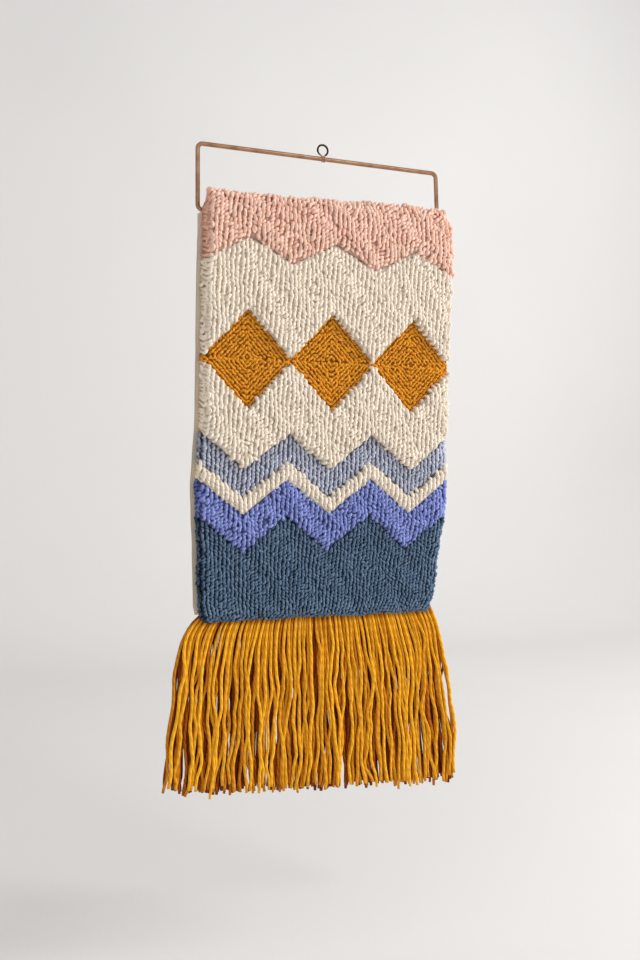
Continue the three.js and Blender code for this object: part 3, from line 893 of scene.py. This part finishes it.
PINK = yarn_of(22, 5.4, 4.4, 2.0, 4.8, 30, 0.2, 1.3, waver=1.0, loose=1.1)
CREAM = yarn_of(20, 5.2, 4.4, 1.95, 4.8, 27, 0.25, 0.9, waver=0.9, loose=0.8)
STRIPE = yarn_of(18, 5.3, 4.4, 1.95, 6.0, 14, 0.2, 0.5)
GOLD = yarn_of(13, 4.0, 3.5, 1.45, 3.6, 26, 0.1, 1.0, step_down=0.06)
GREY_BLUE = yarn_of(14, 5.2, 3.9, 1.55, 4.3, 22, 0.15, 1.2)
PERIWINKLE = yarn_of(17, 5.1, 4.2, 1.75, 4.5, 34, 0.15, 1.2, waver=0.9, loose=0.9)
NAVY = yarn_of(14, 4.8, 3.7, 1.4, 3.9, 28, 0.12, 1.5)
# Each wool's twist, and its colours: lit where proud, in painted shade, and in painted deep
# shade between the loops.
WOOLS = {
    "pink": (7, (247, 211, 192), (244, 190, 168), (226, 158, 130)),
    "cream": (7, (238, 225, 208), (252, 238, 219), (246, 222, 190)),
    "gold": (5, (238, 164, 44), (190, 116, 6), (112, 52, 0)),
    "grey_blue": (6, (208, 212, 228), (138, 144, 162), (62, 68, 86)),
    "periwinkle": (7, (154, 166, 226), (94, 106, 172), (38, 46, 104)),
    "navy": (6, (112, 136, 162), (36, 60, 86), (0, 12, 34)),
}
paints = {name + "_yarn": material(name + "_wool", wool(*made)) for name, made in WOOLS.items()}
THIRD = 1 / REPEATS
for node, slot, yarn, upper, lower, first, last, layout in (
    ("pile_pink", "pink_yarn", PINK, top_line, pink_foot, 0, 1, columns_of),
    ("pile_cream_upper", "cream_yarn", CREAM, pink_foot, chain_top, 0, 1, columns_of),
    ("pile_gold_left", "gold_yarn", GOLD, chain_top, chain_foot, 0, THIRD, lozenges_of),
    ("pile_gold_middle", "gold_yarn", GOLD, chain_top, chain_foot, THIRD, 2 * THIRD, lozenges_of),
    ("pile_gold_right", "gold_yarn", GOLD, chain_top, chain_foot, 2 * THIRD, 1, lozenges_of),
    ("pile_cream_lower", "cream_yarn", CREAM, chain_foot, grey_top, 0, 1, columns_of),
    ("pile_grey_blue", "grey_blue_yarn", GREY_BLUE, grey_top, stripe_top, 0, 1, columns_of),
    ("pile_cream_stripe", "cream_yarn", STRIPE, stripe_top, periwinkle_top, 0, 1, columns_of),
    ("pile_periwinkle", "periwinkle_yarn", PERIWINKLE, periwinkle_top, navy_top, 0, 1, columns_of),
    ("pile_navy", "navy_yarn", NAVY, navy_top, foot_line, 0, 1, columns_of),
):
    area = (upper, lower, first, last, yarn)
    parts = bed(*area) + [loops(*layout(*area), yarn)]
    piece = put_together(node.replace("pile", "loops"), parts, paints[slot])
    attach(piece, "root")
    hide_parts(node)


# The fringe: soft mustard yarn in six layers, each strand rooted in a narrow knotted strip below
# the cloth's foot and hanging plumb, wandering and spreading as it falls.
STRIP_WIDTH = 291
STRIP_SIZE = 7
STRIP_GAP = 0.45
STRIP_SIDES = 12
STRIP_RINGS = 146
KNOT_PITCH = 8
STRAND_COUNT = 292
STRAND_LAYERS = 6
LAYER_ORDER = np.array([4, 0, 2, 5, 1, 3])
STRAND_POINTS = 27
STRAND_SIDES = 7
STRAND_RADIUS = 1.85
LEFT_LENGTH = 186
LENGTH_GAIN = 27
LENGTH_SPREAD = 3.5
# How far apart in depth the back and front layers are, at their roots and where they hang.
ROOT_DEPTH = 4
HANGING_DEPTH = 12.0
# The strands' own waves: how far they reach in mm, and how many there are in a length.
SWAY = (1.9, 0.9)
RIPPLE = (1.2, 2.9)
KINK = (0.7, 6.5)
# How far the outermost strands stand out: quickly (over a share of their length), then slowly.
FLARE_LEFT = (25.5, 0.11, 10.5)
FLARE_RIGHT = (14, 0.12, 20)

strip_y = -SLEEVE_RADIUS - 1.4
strip_z = CLOTH_BOTTOM - STRIP_GAP - STRIP_SIZE / 2
strip_centre = hung(np.array([0, strip_y, strip_z]))


def strip_part():
    """A soft tape. Its section is a rounded square, a circle divided by the fourth root of
    cos^4 + sin^4, and swells and narrows by a cosine from knot to knot."""
    place = np.linspace(-STRIP_WIDTH / 2, STRIP_WIDTH / 2, STRIP_RINGS)
    angle = 2 * np.pi * np.arange(STRIP_SIDES) / STRIP_SIDES
    reach = 1 / (np.abs(np.cos(angle)) ** 4 + np.abs(np.sin(angle)) ** 4) ** 0.25
    swell = 0.92 + 0.08 * np.cos(place * 2 * np.pi / KNOT_PITCH)
    size = STRIP_SIZE / 2 * swell[:, None] * reach[None]
    x = place[:, None] + 0 * angle
    points = np.stack([x, size * np.cos(angle), size * np.sin(angle)], -1)
    # A rise of 0.3 paints the tape in the yarn's shade colours.
    wall = grid(points * MM + strip_centre, 0.3, 0.3, closed=True)
    ring = np.arange(STRIP_SIDES)
    caps = np.concatenate([ring[::-1], (STRIP_RINGS - 1) * STRIP_SIDES + ring])
    wall["corners"] = np.concatenate([wall["corners"], caps])
    wall["sizes"] = np.concatenate([wall["sizes"], [STRIP_SIDES, STRIP_SIDES]])
    wall["uv"] = np.concatenate([wall["uv"], np.zeros((len(caps), 2))])
    return wall


def strand_part():
    """Strands from root to tip: x flares with quick (1 - exp(-t / within)) + slow t and wanders
    by sines, y moves from the strip out to the strand's own layer over the first third."""
    index = np.arange(STRAND_COUNT)[:, None]
    share = index / (STRAND_COUNT - 1)
    layer = LAYER_ORDER[index % STRAND_LAYERS]
    forward = layer / (STRAND_LAYERS - 1)
    t = np.linspace(0, 1, STRAND_POINTS)[None]
    root_x = (share - 0.5) * (STRIP_WIDTH - 2) - 1 + random.uniform(-1.2, 1.2, share.shape)
    side = 2 * share - 1
    quick_out, within, slow_out = np.where(side < 0, [FLARE_LEFT], [FLARE_RIGHT]).T[..., None]
    flare = side * (quick_out * (1 - np.exp(-t / within)) + slow_out * t)
    ease = np.clip(t / 0.35, 0, 1)
    fall = ease * ease * (3 - 2 * ease)
    phase = random.uniform(0, 2 * np.pi, (STRAND_COUNT, 6))[..., None]
    pace = random.uniform(0.8, 1.25, (STRAND_COUNT, 3))[..., None]
    sway = SWAY[0] * np.sin(2 * np.pi * SWAY[1] * pace[:, 0] * t + phase[:, 0])
    ripple = RIPPLE[0] * np.sin(2 * np.pi * RIPPLE[1] * pace[:, 1] * t + phase[:, 1])
    kink = KINK[0] * np.sin(2 * np.pi * KINK[1] * pace[:, 2] * t + phase[:, 4])
    kink = kink * np.sin(3 * t + phase[:, 5]) ** 2
    bend = 3.2 * random.normal(size=(STRAND_COUNT, 1)) * t**1.5
    loose = 1 + 1.2 * (random.uniform(0, 1, (STRAND_COUNT, 1)) < 0.15)
    free = np.where(layer < 2, 0.4, 1)
    own = fall * free * loose * (sway + ripple + kink) + free * bend
    shared = 4 * t * uneven(root_x / 30 + t * 2, 0.4)
    shared = shared + 3 * fall * uneven(root_x / 13 + 0.5 * layer, t * 2.5)
    x = root_x + flare + own + shared
    hang_y = 1.8 - HANGING_DEPTH * forward
    root_y = 2 - ROOT_DEPTH * forward
    wander = np.sin(2 * np.pi * 1.7 * t + phase[:, 2])
    wander = wander + 0.5 * np.sin(2 * np.pi * 4 * t + phase[:, 3])
    y = root_y + (hang_y - root_y) * fall + 1.1 * fall * wander
    length = LEFT_LENGTH + LENGTH_GAIN * share**0.7
    length = length + LENGTH_SPREAD * random.normal(size=(STRAND_COUNT, 1))
    z = 2 - t * (length + 2)
    taper = np.clip((1 - t) * 30, 0.82, 1)
    thick = np.where(layer < 2, 1.25, 1) + 0.07 * random.normal(size=(STRAND_COUNT, 1))
    radius = STRAND_RADIUS * thick * (0.84 + 0.16 * fall) * taper
    tone = random.uniform(0, 1, (STRAND_COUNT, 1)) + 0 * t
    # Painted shade: the back layers are darker, and every strand is darker at its root.
    rise = forward**2 * np.clip(0.35 + t * 9, 0, 1)
    paths = np.stack([x, y, z], -1) * MM + strip_centre
    return sweep(paths, np.array([1.0, 0, 0]), radius * MM, STRAND_SIDES, tone, rise)


# Its colours: lit, painted shade and painted deep shade.
mustard = wool(10, (255, 188, 40), (166, 76, 0), (88, 26, 0))
fringe_paint = material("mustard_wool", mustard)
fringe = put_together("fringe_strands", [strip_part(), strand_part()], fringe_paint)
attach(fringe, "root")
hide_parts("fringe")
